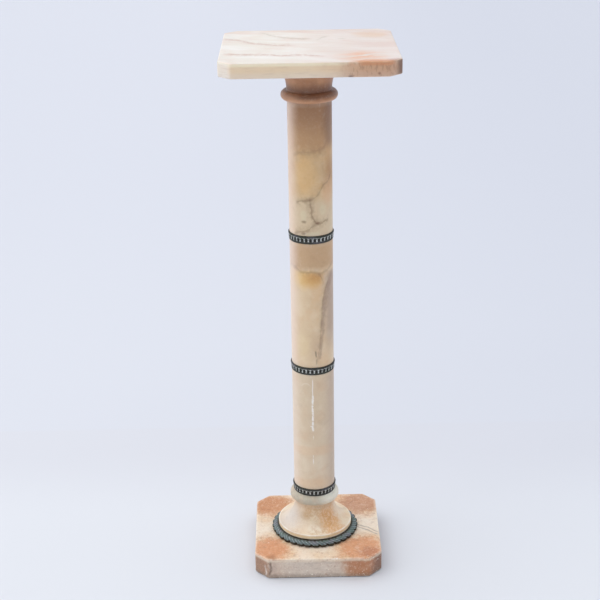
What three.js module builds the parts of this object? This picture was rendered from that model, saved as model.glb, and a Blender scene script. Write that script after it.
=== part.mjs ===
// Alabaster pedestal column with bronze collars.
// A square slab with clipped corners lies on a turned capital. Below it stand three turned
// drums, with a cast bronze band at each joint. The turned foot spreads over a bronze leaf
// wreath, and the whole column stands on a square plinth with clipped corners.
// Millimetres, +Z up. The origin is on the floor, under the column's axis.

import * as THREE from 'three';

// Joints: the clearance left between two pieces that bear on each other
const JOINT_GAP = 0.3;

// Plinth
const PLINTH_SIDE = 244;
const PLINTH_HEIGHT = 42;
const PLINTH_CLIP = 25;
const PLINTH_ARRIS = 1.5;
const PLINTH_SHIFT = 4.5;

// Bronze wreath under the rim of the foot
const WREATH_HEIGHT = 11;
const WREATH_PROUD = 13.3;
const WREATH_BULGE = 8.5;
const WREATH_NOTCH = 2.6;
const WREATH_SLANT = 9;
const LOBE_COUNT = 33;

// Turned foot
const FOOT_RIM_DIAMETER = 143.4;
const FOOT_RIM_HEIGHT = 8.8;
const FOOT_SEAT_INSET = 9.6;
const FOOT_FLARE_HEIGHT = 48.4;
const FOOT_TORUS_HEIGHT = 19.6;
const FOOT_TORUS_PROUD = 7.9;
const FOOT_FILLET_HEIGHT = 0.8;
const FOOT_ARRIS = 0.9;

// Drums
const DRUM_DIAMETER = 79.2;
const DRUM_LENGTH = 244;
const UPPER_DRUM_LENGTH = 241.5;
const DRUM_ARRIS = 0.7;

// Bronze bands, each in a rebate turned around the end of the stone below it
const REBATE_WIDTH = 7.6;
const BAND_HEIGHT = 14.4;
const BAND_LIP_PROUD = 2.2;
const BAND_LIP_HEIGHT = 2.2;
const BAND_RIM_PROUD = 1;
const BAND_RIM_HEIGHT = 2.6;
const RIB_SET_BACK = 0.3;
const RIB_DEPTH = 1.2;
const RIB_SPLAY = 0.9;
const RIB_COUNT = 33;
const UPPER_BAND_TURN = -8;
const MIDDLE_BAND_TURN = 3;
const LOWER_BAND_TURN = -2;

// Capital
const CAPITAL_TORUS_HEIGHT = 17.6;
const CAPITAL_TORUS_PROUD = 10.9;
const CAPITAL_NECK_PROUD = 0.5;
const CAPITAL_FLARE_HEIGHT = 43;
const CAPITAL_RIM_DIAMETER = 132;
const CAPITAL_RIM_HEIGHT = 7.1;

// Slab
const SLAB_SIDE = 304;
const SLAB_THICKNESS = 26;
const SLAB_CLIP = 21.5;
const SLAB_ARRIS = 2.5;

// Fineness of the turned and carved surfaces
const TURNED_STEPS = 48;
const CURVE_STEPS = 6;
const ARRIS_STEPS = 2;
const STEPS_PER_MOTIF = 2;

// Radii that several pieces share
const drumRadius = DRUM_DIAMETER / 2;
const spigotRadius = drumRadius - REBATE_WIDTH;
const bandBoreRadius = spigotRadius + JOINT_GAP;
const bandRimRadius = drumRadius + BAND_RIM_PROUD;
const footRimRadius = FOOT_RIM_DIAMETER / 2;
const footSeatRadius = footRimRadius - FOOT_SEAT_INSET;

// Heights, each stone standing a joint's gap above the one below
const rebateHeight = BAND_HEIGHT + JOINT_GAP;
const wreathBase = PLINTH_HEIGHT + JOINT_GAP;
const footRimBase = wreathBase + WREATH_HEIGHT + JOINT_GAP;
const footFlareBase = footRimBase + FOOT_RIM_HEIGHT;
const footTorusBase = footFlareBase + FOOT_FLARE_HEIGHT;
const lowerSeat = footTorusBase + FOOT_TORUS_HEIGHT + FOOT_FILLET_HEIGHT;
const lowerDrumBase = lowerSeat + rebateHeight + JOINT_GAP;
const middleSeat = lowerDrumBase + DRUM_LENGTH;
const middleDrumBase = middleSeat + rebateHeight + JOINT_GAP;
const upperSeat = middleDrumBase + DRUM_LENGTH;
const upperDrumBase = upperSeat + rebateHeight + JOINT_GAP;
const capitalBase = upperDrumBase + UPPER_DRUM_LENGTH + JOINT_GAP;
const capitalNeckBase = capitalBase + CAPITAL_TORUS_HEIGHT;
const capitalRimBase = capitalNeckBase + CAPITAL_FLARE_HEIGHT;
const slabBase = capitalRimBase + CAPITAL_RIM_HEIGHT + JOINT_GAP;

// Stone and bronze, each with the tone that its piece shows
function stone(colour) {
  return new THREE.MeshStandardMaterial({ color: colour, roughness: 0.35, metalness: 0 });
}

function bronze(colour) {
  return new THREE.MeshStandardMaterial({ color: colour, roughness: 0.55, metalness: 0.7 });
}

// A named piece standing at its own height, its geometry drawn from zero
function piece(name, geometry, material, height) {
  const mesh = new THREE.Mesh(geometry, material);
  mesh.name = name;
  mesh.position.z = height;
  return mesh;
}

// A square block with its four upright corners clipped and its long edges softened
function clippedBlock(side, thickness, clip, arris) {
  const half = side / 2;
  const inner = half - clip;
  const outline = new THREE.Shape();
  outline.moveTo(inner, -half);
  outline.lineTo(half, -inner);
  outline.lineTo(half, inner);
  outline.lineTo(inner, half);
  outline.lineTo(-inner, half);
  outline.lineTo(-half, inner);
  outline.lineTo(-half, -inner);
  outline.lineTo(-inner, -half);
  outline.closePath();
  const block = new THREE.ExtrudeGeometry(outline, {
    depth: thickness - 2 * arris,
    bevelThickness: arris,
    bevelSize: arris,
    bevelOffset: -arris,
    bevelSegments: ARRIS_STEPS,
  });
  block.translate(0, 0, arris);
  return block;
}

// A solid of revolution about the upright axis, from a half outline of [radius, height] points
// that starts on the axis below and ends on it above
function turned(outline) {
  const points = outline.map(([radius, height]) => new THREE.Vector2(radius, height));
  const solid = new THREE.LatheGeometry(points, TURNED_STEPS);
  solid.rotateX(Math.PI / 2);
  return solid;
}

// A half-round moulding from the radius it leaves below to the radius it meets above
function halfRound(innerRadius, base, height, radiusBelow, radiusAbove) {
  const bulge = height / 2;
  const reach = (radius) => THREE.MathUtils.clamp((radius - innerRadius) / bulge, 0, 1);
  const first = -Math.acos(reach(radiusBelow));
  const last = Math.acos(reach(radiusAbove));
  const points = [];
  for (let step = 0; step <= CURVE_STEPS; step += 1) {
    const angle = THREE.MathUtils.lerp(first, last, step / CURVE_STEPS);
    points.push([innerRadius + bulge * Math.cos(angle), base + bulge + bulge * Math.sin(angle)]);
  }
  return points;
}

// A hollow quarter curve that leaves the neck upright and arrives level at the rim
function hollowFlare(neckRadius, rimRadius, neckHeight, rimHeight) {
  const points = [];
  for (let step = 0; step <= CURVE_STEPS; step += 1) {
    const angle = (step / CURVE_STEPS) * (Math.PI / 2);
    const radius = neckRadius + (rimRadius - neckRadius) * (1 - Math.cos(angle));
    points.push([radius, neckHeight + (rimHeight - neckHeight) * Math.sin(angle)]);
  }
  return points;
}

// The spigot that a bronze band closes around, standing on a seat at the given height
function spigot(seatHeight) {
  return [
    [spigotRadius, seatHeight],
    [spigotRadius, seatHeight + rebateHeight],
    [0, seatHeight + rebateHeight],
  ];
}

// A cast ring with one motif repeated around it. Each row of its closed section holds its
// radius and height, the depth of the cut between two motifs, the direction of that cut in
// the section and the angle by which the motif has moved on there
function carvedRing(rows, count) {
  const section = rows.map(({ radius, height }) => new THREE.Vector2(radius, height));
  section.push(section[0].clone());
  const ring = new THREE.LatheGeometry(section, count * STEPS_PER_MOTIF);
  const place = ring.attributes.position;
  for (let index = 0; index < place.count; index += 1) {
    const here = rows[(index % section.length) % rows.length];
    const angle = Math.atan2(place.getX(index), place.getZ(index));
    const depth = (here.cut * (1 - Math.cos(count * angle))) / 2;
    const radius = here.radius - depth * Math.cos(here.slope);
    const height = here.height - depth * Math.sin(here.slope);
    const moved = angle + here.moved;
    place.setXYZ(index, radius * Math.sin(moved), height, radius * Math.cos(moved));
  }
  ring.rotateX(Math.PI / 2);
  return ring;
}

// One plain row of a ring's section, or a carved one where a cut is given
function row(radius, height, cut = 0, slope = 0, moved = 0) {
  return { radius, height, cut, slope, moved };
}

function plinth() {
  const block = clippedBlock(PLINTH_SIDE, PLINTH_HEIGHT, PLINTH_CLIP, PLINTH_ARRIS);
  const mesh = piece('plinth', block, stone(0xcda98a), 0);
  mesh.position.x = PLINTH_SHIFT;
  return mesh;
}

// Slanting leaves laid side by side around a half-round ring
function footWreath() {
  const bore = footSeatRadius + JOINT_GAP;
  const crown = footRimRadius + WREATH_PROUD - WREATH_BULGE;
  const halfHeight = WREATH_HEIGHT / 2;
  const slant = THREE.MathUtils.degToRad(WREATH_SLANT);
  const rows = [];
  for (let step = 0; step < CURVE_STEPS; step += 1) {
    const share = step / (CURVE_STEPS - 1);
    const angle = Math.PI * (share - 0.5);
    const radius = crown + WREATH_BULGE * Math.cos(angle);
    const height = halfHeight + halfHeight * Math.sin(angle);
    rows.push(row(radius, height, WREATH_NOTCH * Math.cos(angle), angle, -slant * share));
  }
  rows.push(row(bore, WREATH_HEIGHT, 0, 0, -slant));
  rows.push(row(bore, 0));
  return piece('foot_wreath', carvedRing(rows, LOBE_COUNT), bronze(0x5c7474), wreathBase);
}

function turnedFoot() {
  const base = wreathBase;
  const rimBase = footRimBase - base;
  const rimTop = rimBase + FOOT_RIM_HEIGHT;
  const torusBase = footTorusBase - base;
  const seat = lowerSeat - base;
  const neckRadius = drumRadius + FOOT_TORUS_PROUD - FOOT_TORUS_HEIGHT / 2;
  const flare = hollowFlare(neckRadius, footRimRadius - FOOT_ARRIS, torusBase, rimTop);
  const outline = [
    [0, 0],
    [footSeatRadius, 0],
    [footSeatRadius, rimBase],
    [footRimRadius - FOOT_ARRIS, rimBase],
    [footRimRadius, rimBase + FOOT_ARRIS],
    [footRimRadius, rimTop - FOOT_ARRIS],
    ...flare.slice(1).reverse(),
    ...halfRound(neckRadius, torusBase, FOOT_TORUS_HEIGHT, neckRadius, bandRimRadius),
    [bandRimRadius, seat],
    ...spigot(seat),
  ];
  return piece('turned_foot', turned(outline), stone(0xdccdb2), base);
}

// A plain drum, with a spigot above where a band joins it to the next one
function drum(name, length, colour, base, topEnd) {
  const outline = [
    [0, 0],
    [drumRadius - DRUM_ARRIS, 0],
    [drumRadius, DRUM_ARRIS],
    [drumRadius, length - DRUM_ARRIS],
    [drumRadius - DRUM_ARRIS, length],
    ...topEnd,
  ];
  return piece(name, turned(outline), stone(colour), base);
}

// A bronze band: a plain rim below, upright ribs and a lip above
function band(name, seat, turn) {
  const lipRadius = drumRadius + BAND_LIP_PROUD;
  const lipBase = BAND_HEIGHT - BAND_LIP_HEIGHT;
  const ribTop = lipBase - RIB_SPLAY;
  const ribBase = BAND_RIM_HEIGHT + RIB_SPLAY;
  const rows = [
    row(bandRimRadius, 0),
    row(bandRimRadius, BAND_RIM_HEIGHT),
    row(bandRimRadius, ribBase, RIB_DEPTH),
    row(lipRadius - RIB_SET_BACK, ribTop, RIB_DEPTH),
    row(lipRadius, lipBase),
    row(lipRadius, BAND_HEIGHT),
    row(bandBoreRadius, BAND_HEIGHT),
    row(bandBoreRadius, 0),
  ];
  const ring = carvedRing(rows, RIB_COUNT);
  const mesh = piece(name, ring, bronze(0x59635c), seat + JOINT_GAP);
  mesh.rotation.z = THREE.MathUtils.degToRad(turn);
  return mesh;
}

function capital() {
  const neckBase = capitalNeckBase - capitalBase;
  const rimBase = capitalRimBase - capitalBase;
  const neckRadius = drumRadius + CAPITAL_NECK_PROUD;
  const torusInner = drumRadius + CAPITAL_TORUS_PROUD - CAPITAL_TORUS_HEIGHT / 2;
  const rimRadius = CAPITAL_RIM_DIAMETER / 2;
  const outline = [
    [0, 0],
    ...halfRound(torusInner, 0, CAPITAL_TORUS_HEIGHT, torusInner, torusInner),
    ...hollowFlare(neckRadius, rimRadius, neckBase, rimBase),
    [rimRadius, rimBase + CAPITAL_RIM_HEIGHT],
    [0, rimBase + CAPITAL_RIM_HEIGHT],
  ];
  return piece('capital', turned(outline), stone(0xa9855f), capitalBase);
}

function topSlab() {
  const block = clippedBlock(SLAB_SIDE, SLAB_THICKNESS, SLAB_CLIP, SLAB_ARRIS);
  return piece('top_slab', block, stone(0xe9e2da), slabBase);
}

const column = new THREE.Group();
column.name = 'alabaster_pedestal_column';
column.add(plinth());
column.add(footWreath());
column.add(turnedFoot());
column.add(band('lower_band', lowerSeat, LOWER_BAND_TURN));
column.add(drum('lower_drum', DRUM_LENGTH, 0xcdb9a5, lowerDrumBase, spigot(DRUM_LENGTH)));
column.add(band('middle_band', middleSeat, MIDDLE_BAND_TURN));
column.add(drum('middle_drum', DRUM_LENGTH, 0xc9ad93, middleDrumBase, spigot(DRUM_LENGTH)));
column.add(band('upper_band', upperSeat, UPPER_BAND_TURN));
column.add(drum('upper_drum', UPPER_DRUM_LENGTH, 0xc5a284, upperDrumBase, [[0, UPPER_DRUM_LENGTH]]));
column.add(capital());
column.add(topSlab());

export default column;
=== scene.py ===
# %% [markdown]
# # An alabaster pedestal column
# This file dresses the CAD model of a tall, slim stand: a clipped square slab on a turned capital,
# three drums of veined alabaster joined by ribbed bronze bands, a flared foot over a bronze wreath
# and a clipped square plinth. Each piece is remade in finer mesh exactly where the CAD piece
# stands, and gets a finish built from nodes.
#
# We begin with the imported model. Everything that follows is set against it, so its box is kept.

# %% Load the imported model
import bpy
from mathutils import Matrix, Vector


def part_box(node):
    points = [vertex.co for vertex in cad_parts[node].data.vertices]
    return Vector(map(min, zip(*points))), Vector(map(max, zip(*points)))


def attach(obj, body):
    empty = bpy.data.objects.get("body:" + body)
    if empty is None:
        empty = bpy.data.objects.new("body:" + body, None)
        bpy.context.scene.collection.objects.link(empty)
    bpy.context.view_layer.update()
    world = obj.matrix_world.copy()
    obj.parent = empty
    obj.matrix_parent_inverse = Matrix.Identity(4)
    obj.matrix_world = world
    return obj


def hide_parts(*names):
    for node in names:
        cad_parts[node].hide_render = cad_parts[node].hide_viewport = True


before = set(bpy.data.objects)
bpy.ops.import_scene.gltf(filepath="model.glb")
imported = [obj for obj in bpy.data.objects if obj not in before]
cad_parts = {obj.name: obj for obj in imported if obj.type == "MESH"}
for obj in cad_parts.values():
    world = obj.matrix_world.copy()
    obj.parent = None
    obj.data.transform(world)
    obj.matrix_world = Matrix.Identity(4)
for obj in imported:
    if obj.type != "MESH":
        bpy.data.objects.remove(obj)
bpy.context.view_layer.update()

# %% [markdown]
# The grids of points are worked out with numpy, and bmesh and mathutils are Blender's own tools
# for faces and directions. The model is in metres, but a stone is easier to think of in
# millimetres, so both ways of changing between them get a name.

# %% Other tools that the lesson uses
import math
import random

import bmesh
import bpy
import numpy as np
from mathutils import Matrix, Vector, noise

MM = 0.001
PER_METRE = 1000
print("pieces in the model:", sorted(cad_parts))

# %% [markdown]
# ## The camera
# The view is from a little above the slab, looking down the front of the column. It could be
# aimed by eye, but a stand this slim shows every degree, so its place, its turn, its dip and the
# slight tilt of the horizon are given as numbers, and its axes are worked out from them.

# %% Aim the camera
CAMERA_PLACE = Vector((-0.03184, -2.25352, 1.41766))
CAMERA_TURN = math.radians(0.242)
CAMERA_DIP = math.radians(21.574)
CAMERA_TILT = math.radians(-0.977)
CAMERA_LENS = 78.12
SENSOR_WIDTH = 36
NEAREST, FARTHEST = 0.05, 100


def aimed_camera():
    level = Vector((math.cos(CAMERA_TURN), -math.sin(CAMERA_TURN), 0))
    onward = Vector((math.sin(CAMERA_TURN), math.cos(CAMERA_TURN), 0))
    ahead = math.cos(CAMERA_DIP) * onward - math.sin(CAMERA_DIP) * Vector((0, 0, 1))
    upward = level.cross(ahead)
    right = math.cos(CAMERA_TILT) * level + math.sin(CAMERA_TILT) * upward
    above = math.cos(CAMERA_TILT) * upward - math.sin(CAMERA_TILT) * level
    lens = bpy.data.cameras.new("camera")
    lens.lens = CAMERA_LENS
    lens.sensor_width = SENSOR_WIDTH
    lens.clip_start = NEAREST
    lens.clip_end = FARTHEST
    camera = bpy.data.objects.new("camera", lens)
    bpy.context.collection.objects.link(camera)
    turn = Matrix((right, above, -ahead)).transposed().to_4x4()
    camera.matrix_world = Matrix.Translation(CAMERA_PLACE) @ turn
    return camera


bpy.context.scene.camera = aimed_camera()
print("camera at", list(CAMERA_PLACE))

# %% [markdown]
# ## Laying nodes for a finish
# A finish is a chain of nodes that turns a point of the stone into a colour. Typing each node by
# hand is slow, so a small class lays them: every method adds a node or two and gives back what
# comes out. Points are read in millimetres and from the object's own axes, so a vein can be placed
# by a height and a turn about the column, in the same numbers as the model.


# %% A class that lays nodes
def linear(red, green, blue):
    """A colour written as it looks on a screen, turned into the amounts of light it stands for."""
    shares = [value / 255 for value in (red, green, blue)]
    light = [s / 12.92 if s <= 0.04045 else ((s + 0.055) / 1.055) ** 2.4 for s in shares]
    return (*light, 1)


class Finish:
    """One material, laid node by node. Places are in millimetres."""

    def __init__(self, name, base):
        self.material = bpy.data.materials.new(name)
        self.material.use_nodes = True
        self.tree = self.material.node_tree
        self.shader = self.tree.nodes["Principled BSDF"]
        self.place = self.vector("MULTIPLY", self.lay("TexCoord")["Object"], [PER_METRE] * 3)
        self.colour = linear(*base)

    def feed(self, socket, value):
        if isinstance(value, bpy.types.NodeSocket):
            self.tree.links.new(value, socket)
        else:
            socket.default_value = value

    def lay(self, kind, fed=(), **settings):
        """One node: its settings are set, its inputs fed by name or number, its outputs given."""
        node = self.tree.nodes.new("ShaderNode" + kind)
        for setting, value in settings.items():
            setattr(node, setting, value)
        for socket, value in dict(fed).items():
            self.feed(node.inputs[socket], value)
        return node.outputs

    def number(self, operation, *values, clamp=False):
        return self.lay("Math", enumerate(values), operation=operation, use_clamp=clamp)[0]

    def vector(self, operation, *values):
        return self.lay("VectorMath", enumerate(values), operation=operation)["Vector"]

    def axes(self, place):
        return list(self.lay("SeparateXYZ", {0: place}))

    def mark(self, name):
        """A number that the mesh carries at each point, such as how worn it is."""
        return self.lay("Attribute", attribute_name=name)["Fac"]

    def shaded(self, **inputs):
        """Feeds the shader's inputs, an underscore standing for a space, and gives the material."""
        for name, value in inputs.items():
            self.feed(self.shader.inputs[name.replace("_", " ")], value)
        return self.material


# %% [markdown]
# Stone is never even. Noise gives the clouds in it, and a soft step turns noise, a height or a
# distance into an amount between 0 and 1, which then decides how far one colour covers another.


# %% Clouds, soft steps and paint
def clouds(self, size, detail=3.0, rough=0.5, drift=0.0, stretch=(1.0, 1.0, 1.0), place=None):
    """Noise between 0 and 1, its clouds about as large as size."""
    where = self.vector("MULTIPLY", self.place if place is None else place, stretch)
    where = self.vector("ADD", where, (drift, drift * 0.7, -drift))
    fed = {"Scale": 1 / size, "Detail": detail, "Roughness": rough, "Vector": where}
    return self.lay("TexNoise", fed)["Fac"]


def step(self, value, low, high):
    """0 at low and 1 at high, smooth between. It falls where high is the smaller."""
    fed = {"Value": value, "From Min": low, "From Max": high}
    return self.lay("MapRange", fed, interpolation_type="SMOOTHSTEP")["Result"]


def times(self, *amounts):
    """Several amounts at once: all of them have to be there."""
    product = amounts[0]
    for amount in amounts[1:]:
        product = self.number("MULTIPLY", product, amount)
    return product


def paint(self, colour, strength, *amounts):
    """Lays a colour over what is there, as strongly as strength and the amounts allow."""
    share = self.number("MULTIPLY", self.times(*amounts), strength, clamp=True)
    mixed = self.lay("Mix", {0: share}, data_type="RGBA")
    self.feed(mixed[2].node.inputs[6], self.colour)
    self.feed(mixed[2].node.inputs[7], linear(*colour))
    self.colour = mixed[2]


def wander(self, size, reach, drift=0.0):
    """The place, pushed about by noise, so that what is drawn on it wavers as veins do."""
    push = self.clouds(size, detail=2.0, drift=drift).node.outputs["Color"]
    push = self.vector("SUBTRACT", push, (0.5, 0.5, 0.5))
    return self.vector("ADD", self.place, self.vector("MULTIPLY", push, [2 * reach] * 3))


def rotated(self, place, degrees):
    """The place as read from axes that are turned about the upright one."""
    fed = {"Vector": place, "Angle": math.radians(degrees)}
    return self.lay("VectorRotate", fed, rotation_type="Z_AXIS")["Vector"]


for method in (clouds, step, times, paint, wander, rotated):
    setattr(Finish, method.__name__, method)
print("a mid stone colour in light:", [round(share, 3) for share in linear(200, 180, 155)])

# %% [markdown]
# ## Veins, stains and shade
# A vein could be noise alone, but then it runs anywhere. Here each large vein is a drawn line: a
# curve node holds its height for every turn about the column, and the vein is dark where the
# point is close to that line. A stain is a soft oval, and its border can be torn by noise.


# %% Lines, veins and stains
def drawn_line(self, value, pairs):
    """A smooth line through the pairs: for each value its height."""
    pairs = sorted(pairs)
    low, high = pairs[0][0], pairs[-1][0]
    least = min(second for _, second in pairs)
    most = max(max(second for _, second in pairs), least + 1)
    share = self.number("DIVIDE", self.number("SUBTRACT", value, low), high - low, clamp=True)
    height = self.lay("FloatCurve", {"Value": share})[0]
    curve = height.node.mapping.curves[0]
    spots = [((first - low) / (high - low), (second - least) / (most - least)) for first, second in pairs]
    curve.points[0].location = spots[0]
    curve.points[1].location = spots[-1]
    for spot in spots[1:-1]:
        curve.points.new(*spot)
    for point in curve.points:
        point.handle_type = "AUTO_CLAMPED"
    height.node.mapping.update()
    return self.number("MULTIPLY_ADD", height, most - least, least)


def apart(self, first, second):
    """How far two numbers lie from each other."""
    return self.number("ABSOLUTE", self.number("SUBTRACT", first, second))


def vein(self, along, across, pairs, width, core=0.25, fade=4.0):
    """1 on the drawn line, nothing beyond its width and past its ends."""
    away = self.apart(across, self.drawn_line(along, pairs))
    body = self.step(away, width, self.number("MULTIPLY", width, core))
    first = min(pair[0] for pair in pairs)
    last = max(pair[0] for pair in pairs)
    start = self.step(along, first - fade, first + fade)
    return self.times(body, start, self.step(along, last + fade, last - fade))


def soft_vein(self, colour, strength, along, across, pairs, width, fade=5.0):
    """A vein as it lies in the stone: a wide faint halo and a core that swells into knots."""
    knots = self.clouds(8, detail=3.0, drift=sum(pairs[0]))
    swell = self.number("MULTIPLY_ADD", self.step(knots, 0.32, 0.66), 1.5, 0.35)
    girth = self.number("MULTIPLY", swell, width)
    halo = self.vein(along, across, pairs, self.number("MULTIPLY", girth, 3.4), 0.0, fade * 1.5)
    self.paint(colour, strength * 0.5, halo)
    self.paint(colour, strength, self.vein(along, across, pairs, girth, 0.0, fade))


def threads(self, size, width, drift, place=None):
    """Fine crooked threads: the line along which a noise passes its middle value."""
    field = self.clouds(size, detail=3.0, rough=0.6, drift=drift, place=place)
    return self.step(self.apart(field, 0.5), width, 0.0)


def stain(self, where, centre, reach, edge=0.5):
    """A soft oval about a centre. Edge is the share of its reach at which it begins to fade."""
    squares = []
    for value, middle, half in zip(where, centre, reach):
        share = self.number("DIVIDE", self.number("SUBTRACT", value, middle), half)
        squares.append(self.number("POWER", share, 2.0))
    return self.step(self.number("SQRT", self.number("ADD", *squares)), 1.0, edge)


def ragged(self, amount, size, drift, edge=0.9):
    """The same amount with its border torn by noise, as a stain in stone has."""
    tear = self.clouds(size, detail=5.0, rough=0.62, drift=drift)
    torn = self.number("MULTIPLY_ADD", self.number("SUBTRACT", tear, 0.5), edge * 1.6, amount)
    return self.step(torn, 0.08, 1.0)


def spot(self, colour, strength, where, centre, reach, edge, tear):
    """Paints a stain whose border is torn. Tear gives the noise's size, its drift and its edge."""
    torn = self.ragged(self.stain(where, centre, reach, edge), *tear)
    self.paint(colour, strength, torn)
    return torn


def flank(self, turn, middle, reach):
    """1 along one side of a turned stone, falling away smoothly to both hands."""
    return self.step(self.apart(turn, middle), reach, reach * 0.3)


def lee(self, along, across, pairs, sharp, wide):
    """Shade that begins at a drawn line and fades out slowly on its far side."""
    beyond = self.number("SUBTRACT", across, self.drawn_line(along, pairs))
    reach = self.drawn_line(along, wide)
    return self.times(self.step(beyond, -sharp, sharp), self.step(beyond, reach, 0.0))


for method in (drawn_line, apart, vein, soft_vein, threads, stain, ragged, spot, flank, lee):
    setattr(Finish, method.__name__, method)

# %% [markdown]
# ## The stone itself
# Alabaster is a soft, fine gypsum stone with a wax-like polish. Under any drawn vein lie pale
# clouds, honey-coloured haze and a web of hair veins. These come first on every stone piece, each
# with its own drift so that no two stones are cut from the same spot. The polish comes last: it
# is duller where the stone is rubbed, and fresh chips show white and rough. The roughness never
# falls below 0.3, because the render's noise filter takes a smoother stone for a mirror and
# leaves specks on it.


# %% Clouds below and polish above
LEAST_ROUGH = 0.3
WAXY = {"IOR": 1.52, "Subsurface_Weight": 0.06, "Subsurface_Scale": 0.006}
WAXY["Subsurface_Radius"] = (1.0, 0.6, 0.4)


def clouded(name, base, pale, haze, drift, haze_strength=0.55, web=0.2, scaly=0.4):
    """A stone finish with clouds, haze and hair veins, ready for its own markings."""
    stone = Finish(name, base)
    big = stone.clouds(85, detail=4.0, rough=0.55, drift=drift, stretch=(1.0, 1.0, 0.75))
    stone.paint(pale, 0.8, stone.step(big, 0.42, 0.66))
    veil = stone.clouds(46, detail=5.0, rough=0.6, drift=drift + 311)
    stone.paint(haze, haze_strength, stone.step(veil, 0.48, 0.68))
    bent = stone.wander(34, 9, drift + 57)
    shift = drift + 7
    where = stone.vector("ADD", bent, (shift, -shift, shift * 0.6))
    scale = stone.lay("TexVoronoi", {"Scale": 1 / 21, "Vector": where}, feature="SMOOTH_F1")
    stone.paint(haze, scaly, stone.step(scale["Distance"], 0.45, 0.85))
    stone.paint(pale, scaly, stone.step(scale["Distance"], 0.4, 0.1))
    hairs = stone.threads(110, 0.035, drift + 91, bent)
    patchy = stone.step(stone.clouds(70, drift=drift + 17), 0.46, 0.62)
    stone.paint((150, 112, 84), web, hairs, patchy)
    return stone


def polished(stone, grainy=0.07, wear_and_highlight=0.3, wear_and_highlight_colour=(226, 212, 192), tooth=0.3):
    """Mottle, rubbed edges that can double as a painted highlight, chips, polish and the finest
    unevenness.
    """
    for size, drift in ((11, 23), (4, 29)):
        mottle = stone.clouds(size, detail=4.0, rough=0.65, drift=drift)
        stone.paint((128, 84, 54), grainy, stone.step(mottle, 0.52, 0.78))
        stone.paint((250, 240, 222), grainy, stone.step(mottle, 0.48, 0.24))
    worn = stone.mark("worn")
    chip = stone.mark("chip")
    # Rubbed edges; strong and near white, as on the foot, this is also a painted highlight.
    stone.paint(wear_and_highlight_colour, wear_and_highlight, worn)
    stone.paint((250, 246, 240), 0.95, chip)
    scuff = stone.clouds(30, detail=2.0, drift=71)
    rough = stone.number("MULTIPLY_ADD", scuff, 0.16, LEAST_ROUGH)
    rough = stone.number("MULTIPLY_ADD", worn, 0.1, rough)
    rough = stone.number("MULTIPLY_ADD", chip, 0.3, rough, clamp=True)
    grain = stone.number("MULTIPLY", stone.clouds(1.6, detail=3.0, drift=5), 0.12)
    height = stone.number("MULTIPLY_ADD", stone.clouds(22, detail=2.0, drift=9), 0.8, grain)
    bump = stone.lay("Bump", {"Strength": tooth, "Distance": 0.0006, "Height": height})["Normal"]
    return stone.shaded(Base_Color=stone.colour, Roughness=rough, Normal=bump, **WAXY)


# %% [markdown]
# On a turned stone a place is best said as a turn about the axis, in degrees from the front, and
# a height. The turn is worked out from the point by an arctangent node. Both are read from a
# place that wanders a little, so that drawn lines waver.


# %% Turn and height on a turned stone
def turn_and_height(stone, size=14, reach=1.6, drift=3):
    across, along, up = stone.axes(stone.wander(size, reach, drift))
    back = stone.number("MULTIPLY", along, -1.0)
    return stone.number("DEGREES", stone.number("ARCTAN2", across, back)), up


# %% [markdown]
# ## Upper drum
# The upper drum is honey yellow and paler below. Towards the slab it turns brown: its own colour,
# deepened by painted shade under the slab. Painted light lies down its left side and painted shade
# on its right. Brown veins cross its lower third: one falls from the right, one comes in from the
# left, and a branch drops between them and turns right again. Dark knots mark some of their ends.


# %% The upper drum's finish
VEIN_BROWN = (120, 84, 54)


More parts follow.
